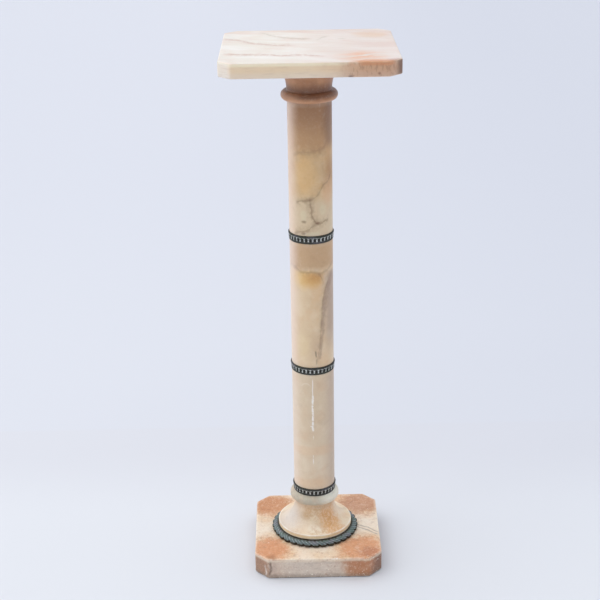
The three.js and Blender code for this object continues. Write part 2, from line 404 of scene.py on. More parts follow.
def upper_drum_finish():
    stone = clouded("upper_alabaster", (214, 179, 132), (228, 200, 158), (216, 168, 108), 40)
    here = turn, up = turn_and_height(stone)
    loose = stone.axes(stone.wander(40, 14, 8))[2]
    stone.paint((188, 144, 102), 0.75, stone.step(loose, 806, 836))
    # Darker still towards the capital: the stone's brown deepened by painted shade under the slab.
    stone.paint((146, 102, 68), 0.8, stone.step(loose, 826, 900))
    stone.spot((116, 82, 60), 0.5, here, (62, 872), (48, 70), 0.2, (20, 33, 0.4))
    # Painted shade on the right side, about the middle of the drum's height.
    stone.paint((172, 124, 80), 0.65, stone.stain(here, (62, 780), (46, 50), 0.1))
    stone.paint((220, 200, 168), 0.75, stone.step(loose, 748, 720))
    stone.spot((230, 188, 128), 0.6, here, (-14, 776), (44, 56), 0.2, (24, 5, 0.5))
    border = [(-50, 812), (-30, 818), (0, 820), (30, 824), (48, 836), (66, 842)]
    stone.soft_vein((146, 106, 74), 0.24, turn, up, border, 5)
    # Painted light down the left side.
    stone.paint((244, 218, 198), 0.7, stone.flank(turn, -88.0, 62.0))
    for centre, reach in (((-20, 702), (13, 17)), ((34, 712), (18, 16)), ((4, 668), (30, 7))):
        stone.spot((226, 212, 178), 0.5, here, centre, reach, 0.3, (12, centre[0], 0.4))
    stone.spot((224, 180, 138), 0.6, here, (52, 742), (38, 50), 0.1, (14, 21, 0.5))
    falling = [(-5.1, 731.4), (6.8, 735.5), (21.4, 744.5), (35.3, 758.5), (48, 762), (64, 776)]
    joining = [(-40, 727), (-34.6, 728.4), (-5.1, 731.8), (2, 732)]
    dropping = [(732, -3), (713, 0.5), (701.6, 3), (694, 9), (688, 16)]
    turning = [(8, 692), (14, 688.5), (22.4, 687.4), (38.8, 691), (50, 692)]
    sinking = [(-48, 668), (-30, 672), (-8, 675.7), (-0.1, 681.5), (16.1, 688)]
    stone.soft_vein(VEIN_BROWN, 0.26, turn, up, falling, 3)
    stone.soft_vein(VEIN_BROWN, 0.4, turn, up, joining, 3)
    stone.soft_vein(VEIN_BROWN, 0.42, up, turn, dropping, 4)
    stone.soft_vein(VEIN_BROWN, 0.38, turn, up, turning, 3)
    stone.soft_vein(VEIN_BROWN, 0.34, turn, up, sinking, 3.4)
    knots = (((-20, 691), (13, 5)), ((54, 901), (9, 5)), ((-20, 669), (12, 5)), ((18, 689), (10, 4)))
    for centre, reach in knots:
        stone.spot((124, 90, 64), 0.6, here, centre, reach, 0.0, (4, centre[0], 0.6))
    return polished(stone)


# %% [markdown]
# ## Middle drum
# A vein wanders across near its top, with a branch that rises to the right. Under it lies a golden
# wedge, deepest in its middle and cut off short by the vein. A broad grey-brown shade falls from
# the right edge: it begins at a drawn line, fades out slowly beyond it, and narrows to a dark
# thread. The rest is pinkish cream.


# %% The middle drum's finish
def middle_drum_finish():
    stone = clouded("middle_alabaster", (226, 198, 160), (236, 214, 182), (226, 188, 144), 420)
    here = turn, up = turn_and_height(stone)
    loose = stone.axes(stone.wander(40, 10, 8))[2]
    stone.paint((196, 158, 118), 0.8, stone.step(loose, 594, 608))
    bent = bent_turn, bent_up = turn_and_height(stone, 24, 6, 77)
    under_vein = stone.step(up, 601, 593)
    for centre, reach, colour, strength in (
        ((-24, 583), (62, 30), (236, 200, 138), 0.95),
        ((0, 582), (48, 24), (222, 174, 108), 0.9),
        ((9, 585), (36, 15), (206, 152, 90), 0.75),
    ):
        stone.paint(colour, strength, stone.stain(bent, centre, reach, 0.1), under_vein)
    crossing = [(-80, 600), (-63.8, 604.1), (-43.5, 600.7), (-22.1, 594.5), (2.3, 595.2)]
    crossing += [(18.9, 591.5), (25, 585), (30, 575)]
    stone.soft_vein(VEIN_BROWN, 0.26, turn, up, crossing, 3.2)
    rising = [(19, 592), (34, 594), (50, 598), (70, 606)]
    stone.soft_vein(VEIN_BROWN, 0.22, turn, up, rising, 3.2)
    edge_line = [(405, 10), (420, 13), (441, 17), (467, 21), (509, 26), (530, 28), (547, 32)]
    edge_line += [(560, 38), (580, 50), (600, 66)]
    spread = [(405, 7), (441, 13), (509, 26), (547, 36), (600, 46)]
    shade = stone.lee(bent_up, bent_turn, edge_line, 7.0, spread)
    shade = stone.times(shade, stone.step(up, 600, 584), stone.step(up, 408, 432))
    # Painted shade down the right side.
    right_side_shade = stone.times(stone.flank(turn, 74.0, 56.0), stone.step(up, 602, 580))
    stone.paint((168, 146, 134), 0.65, right_side_shade, stone.step(up, 410, 490))
    stone.paint((160, 132, 114), 0.62, stone.ragged(shade, 11, 3, 0.7))
    stone.soft_vein((124, 92, 66), 0.26, up, turn, edge_line[1:-1], 3, 14)
    stone.spot((236, 214, 170), 0.4, here, (-30, 450), (34, 40), 0.2, (18, 6, 0.7))
    stone.paint((190, 158, 130), 0.35, stone.stain(here, (10, 448), (26, 46), 0.0))
    # Painted light down the left side.
    stone.paint((244, 222, 208), 0.65, stone.flank(turn, -88.0, 62.0))
    dark = (92, 72, 58)
    stone.paint(dark, 0.6, stone.vein(up, turn, [(427, 9.5), (432, 8.5), (438, 7.5)], 3.4, 0.0, 3))
    stone.paint(dark, 0.35, stone.vein(up, turn, [(412, 9), (423, 10.5)], 3, 0.0, 4))
    return polished(stone)


# %% [markdown]
# ## Lower drum
# The lower drum is a quieter, greyish pink tan. A chalky white line runs down its front: thin at
# the top, then thick and lumpy, with a few dashes below. Its lumps come from noise that widens
# and narrows the drawn line.


# %% The lower drum's finish
def lower_drum_finish():
    stone = clouded("lower_alabaster", (222, 200, 170), (230, 212, 186), (220, 188, 154), 860, 0.5, 0.08)
    here = turn, up = turn_and_height(stone)
    for height, reach in ((158, 18), (230, 16)):
        stone.spot((228, 192, 154), 0.45, here, (0, height), (220, reach), 0.2, (26, height, 0.6))
    # Painted shade down the right side and painted light down the left side.
    stone.paint((176, 152, 138), 0.5, stone.flank(turn, 84.0, 66.0))
    stone.paint((240, 220, 206), 0.4, stone.flank(turn, -88.0, 60.0))
    chalk = (250, 242, 234)
    uneven = stone.step(stone.clouds(5, detail=3.0, rough=0.7, drift=77), 0.4, 0.52)
    thin = [(340, -2.5), (360, -2.2), (380, -2.4)]
    stone.paint(chalk, 0.85, stone.vein(up, turn, thin, 1.7, core=0.3))
    thick = [(274, -2.4), (290, -3.2), (305, -2.2), (322, -3.0), (347, -2.5)]
    stone.paint(chalk, 1.0, stone.vein(up, turn, thick, 3.6, core=0.5), uneven)
    stone.paint(chalk, 0.6, stone.vein(up, turn, thick, 1.6, core=0.3))
    for low, high in ((256, 263), (202, 221)):
        dash = stone.vein(up, turn, [(low, -2.8), (high, -2.5)], 1.6, core=0.4, fade=2)
        stone.paint(chalk, 0.8, dash, uneven)
    stone.paint(chalk, 0.8, stone.stain(here, (-8, 283), (2.6, 1.6)))
    bow = [(-34, 366), (-20, 372), (-8, 368)]
    stone.paint((240, 228, 214), 0.4, stone.vein(turn, up, bow, 2.4, core=0.0))
    return polished(stone)


# %% [markdown]
# ## Capital
# The capital is one brown stone. Painted shade under the slab darkens the top of its half-round and
# the crease above it; painted bounce light lightens the half-round's lower part, and painted light
# its left side.


# %% The capital's finish
def capital_finish():
    stone = clouded("capital_alabaster", (176, 124, 86), (196, 146, 106), (152, 100, 66), 1210)
    here = turn, up = turn_and_height(stone)
    # Painted shade under the slab, over the top of the half-round and in the crease above it.
    stone.paint((92, 56, 38), 0.72, stone.step(up, 911, 919), stone.step(up, 946, 926))
    # Painted bounce light on the lower part of the half-round.
    stone.paint((206, 156, 122), 0.55, stone.step(up, 913.5, 908))
    # Painted light on the left side.
    stone.paint((196, 146, 112), 0.55, stone.flank(turn, -62.0, 50.0), stone.step(up, 928, 916))
    stone.paint((214, 160, 110), 0.4, stone.stain(here, (10, 958), (50, 16), 0.1))
    return polished(stone)


# %% [markdown]
# ## Foot
# The foot is greenish white on its half-round, with cream below. A brown net of threads covers the
# flare. On the right of the front lies a golden patch of longer strokes: threads again, read from
# a place that is squeezed in height, so that they are drawn out upwards. Rubbing and a painted
# highlight whiten the edge of the rim. Painted shade darkens the neck under the half-round and the
# foot of the rim, and a painted highlight lies low on the right of the half-round.


# %% The foot's finish
def foot_finish():
    stone = clouded("foot_alabaster", (232, 210, 180), (238, 224, 202), (226, 192, 150), 1640)
    here = turn, up = turn_and_height(stone)
    below = stone.step(up, 114, 106)
    stone.paint((208, 200, 194), 0.75, stone.stain(here, (-70, 74), (60, 44), 0.1))
    net = stone.number("MAXIMUM", stone.threads(14, 0.05, 15), stone.threads(9, 0.05, 44))
    somewhere = stone.step(stone.clouds(24, drift=14), 0.36, 0.58)
    somewhere = stone.times(somewhere, stone.flank(turn, 14.0, 84.0))
    stone.paint((208, 166, 118), 0.6, net, somewhere, below)
    right = stone.ragged(stone.stain(here, (38, 80), (46, 46), 0.0), 12, 8, 0.6)
    stone.paint((230, 180, 134), 0.6, right, below)
    squeezed = stone.vector("MULTIPLY", stone.wander(12, 5, 31), (1.0, 1.0, 0.3))
    stone.paint((216, 158, 86), 0.8, stone.threads(7, 0.09, 31, squeezed), right, below)
    stone.paint((208, 156, 98), 0.4, net, right, below)
    stone.spot((192, 158, 116), 0.5, here, (-26, 88), (36, 18), 0.0, (5, 2, 0.6))
    stone.paint((180, 174, 156), 0.85, stone.step(up, 110, 113))
    blush = stone.step(stone.clouds(20, detail=4.0, drift=52), 0.46, 0.64)
    stone.paint((206, 182, 158), 0.5, blush, stone.step(up, 110, 114))
    # Painted highlight low on the right of the half-round.
    stone.paint((240, 238, 224), 0.75, stone.step(up, 112, 115), stone.flank(turn, 58.0, 62.0))
    # Painted shade in the neck under the half-round.
    stone.paint((186, 148, 108), 0.45, stone.step(up, 94, 110), below)
    stone.paint((240, 212, 164), 0.75, stone.step(up, 61.4, 60))
    # Painted shade along the foot of the rim, over the wreath.
    stone.paint((150, 120, 84), 0.6, stone.step(up, 56, 54.2))
    # The foot's strong, near-white wear marks its rim edges as rubbed and also paints a highlight on
    # them.
    return polished(stone, grainy=0.14, wear_and_highlight=0.85, wear_and_highlight_colour=(252, 246, 234))


# %% [markdown]
# ## Slab
# The slab is the palest stone, a cool white. Wide wisps cross its upper face, all dragged the same
# way, and grey-brown veins sweep in from the left and from the rear. Towards the front right
# corner it warms through a fan of peach to brown.


# %% The slab's upper face
def slab_top(stone, across, along):
    here = (across, along)
    flow = stone.rotated(stone.wander(70, 16, 13), 14)
    drag = (0.14, 0.7, 0.5)
    for size, drift, strength in ((34, 44, 0.6), (16, 46, 0.16)):
        wisps = stone.clouds(size, detail=2.0, rough=0.5, drift=drift, stretch=drag, place=flow)
        stone.paint((226, 198, 182), strength, stone.step(wisps, 0.5, 0.7))
        stone.paint((248, 246, 241), strength, stone.step(wisps, 0.47, 0.33))
    stone.paint((224, 203, 196), 0.5, stone.step(across, -90.0, 110.0))
    brown, olive = (196, 152, 132), (170, 158, 132)
    left = [(-160, 80), (-150, 70), (-130, 60), (-110, 38), (-95, 25), (-70, 8), (-30, 0)]
    stone.soft_vein(brown, 0.44, across, along, left, 5, 12)
    rear = [(-82, 124), (-75, 115), (-60, 90), (-45, 75), (-20, 62), (0, 58)]
    stone.soft_vein(olive, 0.34, across, along, rear, 4.5, 10)
    front = [(-140, -68), (-110, -78), (-70, -83), (-40, -92), (-25, -88), (0, -92), (20, -100)]
    stone.soft_vein(brown, 0.6, across, along, front, 4, 10)
    stone.soft_vein(olive, 0.3, across, along, [(18, 50), (26, 70), (34, 82)], 4)
    stone.paint(olive, 0.3, stone.stain(here, (60, 55), (12, 7), 0.0))
    stone.spot((228, 194, 160), 0.5, here, (112, 92), (56, 50), 0.1, (30, 5, 0.7))
    fanned = stone.rotated(flow, -30)
    fan = stone.clouds(16, detail=4.0, drift=83, stretch=(0.3, 0.8, 0.3), place=fanned)
    peach = stone.stain(here, (86, -106), (60, 62), 0.0)
    stone.paint((234, 178, 140), 1.0, peach, stone.step(fan, 0.36, 0.6))
    stone.spot((224, 152, 100), 0.68, here, (104, -150), (62, 26), 0.1, (12, 9, 0.7))
    stone.spot((168, 104, 74), 0.65, here, (150, -150), (38, 38), 0.1, (16, 12, 0.6))


# %% [markdown]
# The slab's sides are honey coloured with thin sawn layers, and their right end is mottled brown,
# darkened further by painted shade where the sides turn away from the light.
# Their heights and ends are read from the true place of each point and not from the wandering one:
# a wandering height would let the paint of the sides creep over the rounded edge on to the top.


# %% The slab's sides
def slab_sides(stone, across):
    x, y, z = stone.axes(stone.place)
    side = stone.times(stone.step(z, 999.8, 997.5), stone.step(z, 974.2, 976))
    stone.paint((240, 208, 160), 0.7, side)
    stone.paint((255, 244, 214), 0.7, stone.step(z, 992, 996.5), side)
    stone.paint((234, 220, 204), 0.5, side, stone.step(z, 988, 978))
    stone.paint((242, 236, 228), 0.6, side, stone.step(x, -126.0, -138.0))
    cloudy = stone.number("MULTIPLY_ADD", stone.clouds(24, detail=3.0, drift=15), 70.0, x)
    stone.paint((194, 146, 118), 0.7, side, stone.step(cloudy, 40.0, 130.0))
    sawn = stone.clouds(5, detail=3.0, drift=19, stretch=(0.2, 0.2, 1.4))
    stone.paint((206, 180, 154), 0.22, side, stone.step(sawn, 0.5, 0.7))
    mottle = stone.clouds(5, detail=4.0, rough=0.65, drift=23, stretch=(1.3, 1.3, 0.5))
    mottle = stone.times(side, stone.step(mottle, 0.5, 0.62), stone.step(cloudy, 70.0, 120.0))
    stone.paint((152, 104, 80), 0.38, mottle)
    near = stone.step(y, -140.0, -150.0)
    topmost = stone.times(stone.step(z, 991, 996), near, stone.step(cloudy, 90.0, 130.0))
    stone.paint((208, 136, 86), 0.72, topmost)
    # Darker at the right end: brown stone deepened by painted shade where the sides turn away.
    stone.paint((96, 62, 50), 0.75, side, stone.step(x, 138.0, 149.0))
    specks = (((65, 976), (7, 2.5), (90, 62, 50)), ((112, 980), (3, 4), (136, 84, 62)))
    for centre, reach, colour in specks:
        stone.paint(colour, 0.75, stone.stain((across, z), centre, reach, 0.0), near)


def slab_finish():
    colours = (238, 231, 220), (245, 241, 234), (234, 212, 198)
    stone = clouded("slab_alabaster", *colours, 2100, 0.4, 0.0, 0.1)
    across, along, _ = stone.axes(stone.wander(26, 7, 6))
    slab_top(stone, across, along)
    slab_sides(stone, across)
    return polished(stone, grainy=0.0, tooth=0.06)


# %% [markdown]
# ## Plinth
# The plinth is the most strongly coloured stone: orange at its corners, fading through honey to a
# pale cross in the middle, with rust near the front right and grey veins running out on the right.


# %% The plinth's upper face
def plinth_top(stone, across, along):
    here = (across, along)
    net = stone.number("MAXIMUM", stone.threads(16, 0.05, 27), stone.threads(9, 0.045, 40))
    corners = (
        ((-88, 82), (62, 60), (196, 132, 88)),
        ((92, 84), (66, 60), (190, 138, 108)),
        ((-88, -84), (54, 58), (214, 146, 102)),
        ((90, -88), (68, 62), (218, 152, 108)),
    )
    for centre, reach, colour in corners:
        wide = (reach[0] * 1.35, reach[1] * 1.35)
        honey = stone.spot((230, 190, 142), 0.6, here, centre, wide, 0.3, (22, centre[0], 0.7))
        stone.paint((190, 122, 76), 0.55, net, honey)
        stone.spot(colour, 0.85, here, centre, reach, 0.3, (14, centre[1], 0.8))
    stone.spot((170, 100, 68), 0.55, here, (106, -102), (42, 34), 0.1, (9, 16, 0.9))
    grey = (146, 130, 120)
    for line in ([(74, 10), (100, -10), (124, -27)], [(80, -6), (105, -25), (124, -38)]):
        stone.paint(grey, 0.35, stone.vein(across, along, line, 5.5, core=0.0, fade=6))
        stone.paint(grey, 0.6, stone.vein(across, along, line, 2, core=0.0, fade=4))
    stone.spot((156, 102, 66), 0.55, here, (-84, -118), (15, 26), 0.0, (8, 18, 0.5))


# %% [markdown]
# The plinth's front is layered grey tan between a brown left end and a reddish right one, with a
# dark streak and a fine crack beside it. Painted light runs along the top of the sides, they grow
# darker towards the bottom, and a painted contact shadow lies along the floor. Dirt gathers in
# patches, and light specks lie over all. Old knocks have left white chips, which the mesh will carry.


# %% The plinth's sides
def plinth_sides(stone, across):
    _, y, z = stone.axes(stone.place)
    side = stone.step(z, 41.4, 38.5)
    stone.paint((214, 198, 184), 0.7, side, stone.step(across, 76.0, 40.0))
    layers = stone.clouds(14, detail=5.0, rough=0.62, drift=8, stretch=(0.3, 0.3, 1.0))
    stone.paint((178, 158, 142), 0.5, side, stone.step(layers, 0.5, 0.7))
    leaning = stone.number("MULTIPLY_ADD", z, 0.5, across)
    right = stone.ragged(stone.times(side, stone.step(leaning, 44.0, 84.0)), 12, 19, 0.7)
    stone.paint((184, 120, 80), 0.8, right)
    left = stone.ragged(stone.times(side, stone.step(across, -84.0, -98.0)), 12, 29, 0.6)
    stone.paint((158, 112, 80), 0.8, left)
    far_right = stone.ragged(stone.times(side, stone.step(across, 100.0, 122.0)), 9, 37, 0.6)
    stone.paint((116, 90, 78), 0.7, far_right)
    front = stone.times(stone.step(y, -104.0, -114.0), side)
    crack = stone.vein(z, across, [(2, -97), (14, -96), (26, -97)], 3, core=0.2)
    stone.paint((240, 234, 226), 0.55, crack, front)
    streak = stone.vein(z, across, [(8, -90), (26, -87), (42, -89)], 3.6, core=0.0)
    stone.paint((96, 68, 52), 0.75, streak, front)
    stone.paint((120, 86, 64), 0.5, stone.threads(8, 0.04, 71), left)
    # Painted light along the top of the sides, under the rounded upper edge.
    stone.paint((240, 220, 194), 0.7, side, stone.step(z, 33.0, 39.0))
    # Darker towards the bottom.
    stone.paint((124, 108, 94), 0.55, stone.step(z, 14.0, 1.0))
    # Painted contact shadow where the sides meet the floor.
    stone.paint((74, 58, 46), 0.85, stone.step(z, 2.6, 0.2))


def plinth_finish():
    colours = (236, 218, 196), (242, 230, 214), (226, 194, 156)
    stone = clouded("plinth_alabaster", *colours, 2600, 0.5, 0.06)
    across, along, _ = stone.axes(stone.wander(30, 9, 12))
    plinth_top(stone, across, along)
    plinth_sides(stone, across)
    dirt = stone.step(stone.clouds(7, detail=5.0, rough=0.7, drift=88), 0.54, 0.68)
    patches = stone.step(stone.clouds(34, drift=90), 0.42, 0.6)
    stone.paint((166, 108, 72), 0.5, dirt, patches)
    specks = stone.step(stone.clouds(3, detail=2.0, drift=66), 0.64, 0.72)
    somewhere = stone.step(stone.clouds(40, drift=67), 0.42, 0.58)
    stone.paint((252, 244, 230), 0.85, specks, somewhere)
    return polished(stone, grainy=0.28, wear_and_highlight=0.5, wear_and_highlight_colour=(246, 232, 214))


# %% [markdown]
# Each stone's finish is made once and kept under a short name, ready for the piece that wears it.

# %% Make the seven stone finishes
stone_finishes = {
    "plinth": plinth_finish(),
    "foot": foot_finish(),
    "lower": lower_drum_finish(),
    "middle": middle_drum_finish(),
    "upper": upper_drum_finish(),
    "capital": capital_finish(),
    "slab": slab_finish(),
}
print({name: len(made.node_tree.nodes) for name, made in stone_finishes.items()}, "nodes")

# %% [markdown]
# ## Patinated bronze
# The castings have gone dark, with a dull grey-green bloom where they stand proud and a little
# verdigris. The mesh tells the finish, in a mark, how far each point stands proud and in light, so
# that dirt and patina lie in the hollows and the ridges look rubbed, with a painted highlight on
# them. The wreath's hanging lobes get none of that mark and take the dark colour as painted shade.


# %% The bronze finish
def bronze_finish(name, deep_and_shaded, mid, rubbed_and_highlight, green, drift):
    bronze = Finish(name, mid)
    proud_and_lit = bronze.mark("proud_and_lit")
    cloud = bronze.clouds(18, detail=4.0, rough=0.6, drift=drift)
    bronze.paint(green, 0.7, bronze.step(cloud, 0.5, 0.62))
    dusk = bronze.clouds(26, detail=2.0, drift=drift + 40)
    bronze.paint((124, 120, 132), 0.55, bronze.step(dusk, 0.5, 0.62))
    # Dark in the hollows for patina and dirt; on the wreath's hanging lobes the same dark is painted
    # shade.
    bronze.paint(deep_and_shaded, 1.0, bronze.step(proud_and_lit, 0.55, 0.12))
    fine = bronze.clouds(2.2, detail=3.0, rough=0.6, drift=drift + 3)
    ridge = bronze.times(bronze.step(proud_and_lit, 0.7, 1.0), bronze.step(fine, 0.34, 0.62))
    # Rubbed metal on the ridges, bright enough to be a painted highlight too.
    bronze.paint(rubbed_and_highlight, 0.8, ridge)
    dull = bronze.number("MULTIPLY_ADD", cloud, 0.3, 0.42)
    rough = bronze.number("MULTIPLY_ADD", ridge, -0.16, dull, clamp=True)
    bump = bronze.lay("Bump", {"Strength": 0.5, "Distance": 0.0004, "Height": fine})["Normal"]
    return bronze.shaded(Base_Color=bronze.colour, Roughness=rough, Metallic=0.45, Normal=bump)


band_bronze = bronze_finish("band_bronze", (46, 45, 40), (74, 75, 70), (232, 234, 228), (76, 84, 72), 5)
wreath_bronze = bronze_finish(
    "wreath_bronze", (60, 54, 42), (100, 114, 114), (186, 194, 200), (90, 114, 104), 60
)
print("bronze finishes:", band_bronze.name, wreath_bronze.name)

# %% [markdown]
# ## From rows of points to a piece
# Every piece here is a grid: rows of points that close round the column's axis. A turned stone
# has a row for each step of its outline. One function joins the rows with faces, and another
# makes the object, gives it its marks and finish, hangs it under the root and hides the CAD piece
# it stands for. A ready-made cylinder would be quicker, but it could carry no carving, wear or chips.


# %% Join rows of points
def joined(rows, closed=False):
    """Faces between neighbouring rows. The ends are capped, or joined where the section closes."""
    count, steps = rows.shape[:2]
    faces = []
    for row in range(count if closed else count - 1):
        below = row * steps
        above = (row + 1) % count * steps
        for here in range(steps):
            beside = (here + 1) % steps
            faces.append((below + here, below + beside, above + beside, above + here))
    if not closed:
        faces.append(tuple(reversed(range(steps))))
        faces.append(tuple(range((count - 1) * steps, count * steps)))
    return faces


def placed(name, node, finish, rows, marks, closed=False):
    """A finished piece standing for a CAD node."""
    mesh = bpy.data.meshes.new(name)
    mesh.from_pydata((rows.reshape(-1, 3) * MM).tolist(), [], joined(rows, closed))
    for mark, values in marks.items():
        layer = mesh.attributes.new(mark, "FLOAT", "POINT")
        layer.data.foreach_set("value", np.asarray(values, dtype=np.float32).ravel())
    work = bmesh.new()
    work.from_mesh(mesh)
    bmesh.ops.recalc_face_normals(work, faces=work.faces)
    work.to_mesh(mesh)
    work.free()
    mesh.shade_smooth()
    mesh.materials.append(finish)
    piece = bpy.data.objects.new(name, mesh)
    bpy.context.collection.objects.link(piece)
    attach(piece, "root")
    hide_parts(node)
    print(name, "has", len(mesh.polygons), "faces")


def ends_of(node):
    """The heights in millimetres between which a CAD piece lies."""
    low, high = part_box(node)
    return low[2] * PER_METRE, high[2] * PER_METRE


# %% [markdown]
# ## Chips and wear
# Real arrises are never whole. A chip is made by a small ball that presses into the edge: points
# inside it are pushed out to its surface, which leaves a shell-shaped hollow as a knock does.
# Wear is a number from 0 to 1 along the edges, broken up by noise.

# %% Chips and broken-up wear
FULL_CHIP = 0.6


def chipped(rows, balls):
    """Rows with hollows pressed in, and how deeply each point was pressed: 1 from FULL_CHIP mm."""
    points = rows.reshape(-1, 3).copy()
    depth = np.zeros(len(points))
    for centre, radius in balls:
        away = points - np.array(centre)
        distance = np.linalg.norm(away, axis=1)
        for index in np.nonzero(distance < radius * 1.25)[0]:
            way = away[index] / max(distance[index], 0.01)
            uneven = 1 + 0.22 * noise.noise(Vector(way * 2.3) + Vector(centre) * 0.37)
            press = radius * uneven - distance[index]
            if press > 0:
                points[index] += way * press
                depth[index] = max(depth[index], min(1, press / FULL_CHIP))
    return points.reshape(rows.shape), depth.reshape(rows.shape[:2])


def broken(rows, size, low, high):
    """Noise over the rows, from 0 to 1, with spots about the given size in millimetres."""
    flat = rows.reshape(-1, 3) / size
    values = np.array([noise.noise(Vector(point)) for point in flat])
    return np.clip((values - low) / (high - low), 0, 1).reshape(rows.shape[:2])


# %% [markdown]
# ## Turned stone
# A turned piece is its outline carried round the axis. Only the outline differs between a drum, a
# capital and a foot, so each gives its own list of radius and height, and the rest is shared.
# Edges are rounded by a short arc, because light catches a real arris. On a flat end the nearest
# row lies CAP_INSET millimetres in from the edge, so that the shading turns sharply there.

# %% Outlines carried round the axis
TURNED_STEPS = 176
CAP_INSET = 4


def arc(centre, radius, first, last, steps):
    """Points [radius, height] on an arc, its angles in degrees from level."""
    angles = np.radians(np.linspace(first, last, steps + 1))
    return [[centre[0] + radius * math.cos(a), centre[1] + radius * math.sin(a)] for a in angles]


def straight(start, end, pitch):
    """Points between two places, about a pitch apart, without the two themselves."""
    parts = max(1, round(math.dist(start, end) / pitch))
    return [
        [start[0] + (end[0] - start[0]) * k / parts, start[1] + (end[1] - start[1]) * k / parts]
        for k in range(1, parts)
    ]


def around(radius, height, turn):
    """Points at a radius, a height and a turn, which runs from the front towards the right."""
    sideways = radius * np.sin(turn)
    height = np.broadcast_to(height, sideways.shape)
    return np.stack([sideways, -radius * np.cos(turn), height], axis=-1)


def turned(outline, steps):
    """Rows of points round the axis, one for each place of the outline."""
    radius, height = np.array(outline, dtype=float).T
    return around(radius[:, None], height[:, None], np.arange(steps) * 2 * math.pi / steps)


# %% [markdown]
# A round edge gets its chips at random turns. The random generator is seeded, so that every run
# gives the same stone. Wear is measured from the edge's radius and height. One function then makes
# any turned stone from its outline and its rims.

# %% Chips and wear on a round edge
rng = random.Random(11)


def rim_balls(radius, height, upward, count, size):
    """Balls that chip a round edge at random places. Each stands off it, outward and up or down."""
    balls = []
    for _ in range(count):
        turn = rng.uniform(0, 2 * math.pi)
        ball = rng.uniform(*size)
        stand = ball * 0.72 * 0.7
        out = radius + stand
        balls.append(((out * math.sin(turn), -out * math.cos(turn), height + upward * stand), ball))
    return balls


def worn_near(rows, edges, reach):
    """Wear that is strongest on the given edges [radius, height]."""
    radius = np.hypot(rows[..., 0], rows[..., 1])
    wear_and_highlight = np.zeros(rows.shape[:2])
    for edge_radius, edge_height in edges:
        away = np.hypot(radius - edge_radius, rows[..., 2] - edge_height)
        wear_and_highlight = np.maximum(wear_and_highlight, np.clip(1 - away / reach, 0, 1))
    return wear_and_highlight * broken(rows, 13, -0.8, 0.25)


def turn_stone(name, node, stone, outline, rims, reach, whiteness, steps=TURNED_STEPS):
    """A turned stone. A rim is a radius, a height, up or down, how many chips, and their sizes."""
    balls = [ball for rim in rims for ball in rim_balls(*rim)]
    rows, chip = chipped(turned(outline, steps), balls)
    wear_and_highlight = worn_near(rows, [rim[:2] for rim in rims], reach)
    marks = {"worn": wear_and_highlight, "chip": chip * whiteness}
    placed(name + "_stone", node, stone_finishes[stone], rows, marks)


# %% [markdown]
# ## The three drums
# A drum is a plain cylinder with softened ends. Its lower end sits on a band and its upper end
# carries a thinner spigot that the next band closes around, so the stones bear on each other.

# %% Turn the drums
DRUM_RADIUS = 39.6
DRUM_ARRIS = 0.7
DRUM_PITCH = 6
DRUM_LENGTH = 244
UPPER_DRUM_LENGTH = 241.5
SPIGOT_RADIUS = 32
SPIGOT_HEIGHT = 14.7


def drum_outline(base, top, spigot):
    inner = DRUM_RADIUS - DRUM_ARRIS
    outline = [[inner - CAP_INSET, base]]
    outline += arc([inner, base + DRUM_ARRIS], DRUM_ARRIS, -90, 0, 3)
    outline += straight([DRUM_RADIUS, base + DRUM_ARRIS + 2], [DRUM_RADIUS, top - 2.7], DRUM_PITCH)
    outline += arc([inner, top - DRUM_ARRIS], DRUM_ARRIS, 0, 90, 3)
    outline.append([inner - CAP_INSET, top])
    if spigot:
        outline.append([SPIGOT_RADIUS, top])
        outline.append([SPIGOT_RADIUS, top + SPIGOT_HEIGHT])
    return outline


def make_drum(stone, length, spigot):
    node = stone + "_drum"
    base = ends_of(node)[0]
    rims = [(DRUM_RADIUS, base, -1, 5, (1.6, 3.2)), (DRUM_RADIUS, base + length, 1, 5, (1.6, 3.2))]
    turn_stone(node, node, stone, drum_outline(base, base + length, spigot), rims, 3, 0.3)


make_drum("lower", DRUM_LENGTH, True)
make_drum("middle", DRUM_LENGTH, True)
make_drum("upper", UPPER_DRUM_LENGTH, False)

# %% [markdown]
# ## Capital
# A half-round moulding, then a hollow curve that spreads to carry the slab. The curve is a
# quarter of an ellipse: upright where it leaves the neck and level where it reaches the rim.


# %% Turn the capital
def hollow(neck, rim, neck_height, rim_height, steps):
    """A quarter ellipse from an upright neck to a level rim."""
    across, up = rim - neck, rim_height - neck_height
    angles = np.linspace(0, math.pi / 2, steps + 1)
    return [[neck + across * (1 - math.cos(a)), neck_height + up * math.sin(a)] for a in angles]


CAPITAL_BASE, CAPITAL_TOP = ends_of("capital")
CAPITAL_FOOT = 38
MOULDING = 8.8
MOULDING_CENTRE = 41.7
CAPITAL_NECK = 40.1
CAPITAL_RIM = 66
CAPITAL_RIM_HEIGHT = 7.1
CAPITAL_SOFT = 0.8
CAPITAL_EDGE = 0.6
soft_rim = CAPITAL_RIM - CAPITAL_SOFT
under_rim = CAPITAL_TOP - CAPITAL_RIM_HEIGHT
rim_foot = under_rim + CAPITAL_SOFT
rim_head = CAPITAL_TOP - CAPITAL_EDGE

